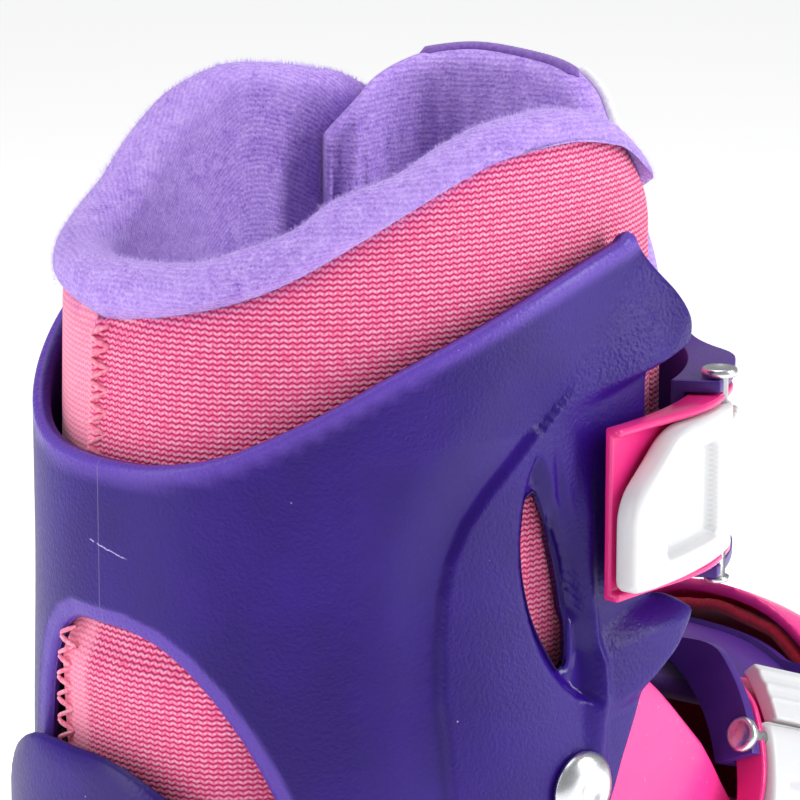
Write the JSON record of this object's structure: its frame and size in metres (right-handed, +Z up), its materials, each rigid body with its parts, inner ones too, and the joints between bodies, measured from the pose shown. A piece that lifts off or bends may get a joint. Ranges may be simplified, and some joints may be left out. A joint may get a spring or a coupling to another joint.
{
  "type": "ice skate",
  "caption": "Hard-shell children's ice skate for the right foot with a tilting cuff, soft knit liner, two ratchet buckles and a steel runner.",
  "frame": {"origin": "on the ice, under the middle of the runner's flat working edge", "axes": "+X to the toe, +Y to the inner side of the foot, +Z up"},
  "size_m": [0.224, 0.1096, 0.243],
  "materials": {
    "purple_cuff": "fine grained moulded plastic",
    "purple_strap": "smooth moulded plastic",
    "pink_shell": "smooth moulded plastic",
    "pink_frame": "smooth moulded plastic",
    "white_plastic": "satin moulded plastic",
    "knit": "zig-zag knit over foam",
    "fleece": "brushed fleece",
    "foam": "foam with cloth face",
    "blade_steel": "ground and polished",
    "steel_hardware": "zinc plated"
  },
  "bodies": {
    "shell": {"lower_shell": "pink_shell", "heel_counter": "purple_cuff", "insole": "foam", "liner_foot": "foam", "tongue_foot": "knit", "blade_holder": "white_plastic", "runner": "blade_steel", "runner_screw_rear": "steel_hardware", "runner_screw_front": "steel_hardware", "holder_bolt_1": "steel_hardware", "holder_bolt_2": "steel_hardware", "holder_bolt_3": "steel_hardware", "holder_bolt_4": "steel_hardware", "ankle_rivet_outer": "steel_hardware", "ankle_rivet_inner": "steel_hardware", "instep_rack": "white_plastic", "instep_hinge_bracket": "purple_strap", "instep_hinge_pin": "steel_hardware", "instep_hinge_rivet": "steel_hardware"},
    "cuff": {"cuff": "purple_cuff", "liner_collar": "knit", "tongue": "knit", "cuff_rack": "white_plastic", "cuff_hinge_bracket": "purple_strap", "cuff_hinge_pin": "steel_hardware", "cuff_hinge_rivet": "steel_hardware"},
    "cuff_strap": {"cuff_strap": "purple_strap", "cuff_buckle_frame": "pink_frame", "cuff_buckle_pin": "steel_hardware", "cuff_ratchet_spring": "steel_hardware"},
    "cuff_lever": {"cuff_lever": "white_plastic"},
    "cuff_release": {"cuff_release_tab": "white_plastic"},
    "instep_strap": {"instep_strap": "purple_strap", "instep_buckle_frame": "pink_frame", "instep_buckle_pin": "steel_hardware", "instep_ratchet_spring": "steel_hardware"},
    "instep_lever": {"instep_lever": "white_plastic"},
    "instep_release": {"instep_release_tab": "white_plastic"},
    "toe": {"toe_shell": "pink_shell", "liner_toe": "foam"},
    "button": {"size_button": "white_plastic", "toe_lock_pin": "steel_hardware"}
  },
  "joints": [
    {"name": "cuff_tilt", "type": "hinge", "parent": "shell", "child": "cuff", "pos_m": [-0.042, 0, 0.131], "axis": [0, 1, 0], "range_deg": [-4, 9], "stiffness_Nm_per_rad": 4},
    {"name": "cuff_strap_swing", "type": "hinge", "parent": "cuff", "child": "cuff_strap", "pos_m": [-0.01311, 0.04579, 0.177], "axis": [0, 0, 1], "range_deg": [0, 70]},
    {"name": "cuff_lever_swing", "type": "hinge", "parent": "cuff_strap", "child": "cuff_lever", "pos_m": [-0.0048, -0.0459, 0.177], "axis": [0, 0, 1], "range_deg": [0, 95]},
    {"name": "cuff_release_press", "type": "hinge", "parent": "cuff_strap", "child": "cuff_release", "pos_m": [-0.00175, -0.04414, 0.177], "axis": [0, 0, 1], "range_deg": [0, 6], "stiffness_Nm_per_rad": 0.2},
    {"name": "instep_strap_swing", "type": "hinge", "parent": "shell", "child": "instep_strap", "pos_m": [0.01574, 0.04589, 0.10867], "axis": [-0.9397, 0, 0.342], "range_deg": [0, 22]},
    {"name": "instep_lever_swing", "type": "hinge", "parent": "instep_strap", "child": "instep_lever", "pos_m": [0.02088, -0.04474, 0.1228], "axis": [-0.9397, 0, 0.342], "range_deg": [0, 95]},
    {"name": "instep_release_press", "type": "hinge", "parent": "instep_strap", "child": "instep_release", "pos_m": [0.02191, -0.04283, 0.12564], "axis": [-0.9397, 0, 0.342], "range_deg": [0, 6], "stiffness_Nm_per_rad": 0.2},
    {"name": "toe_slide", "type": "slide", "parent": "shell", "child": "toe", "axis": [1, 0, 0], "range_m": [0, 0.012]},
    {"name": "size_button_press", "type": "slide", "parent": "shell", "child": "button", "axis": [0, 1, 0], "range_m": [0, 0.0022], "stiffness_N_per_m": 600, "springref_m": -0.001}
  ]
}
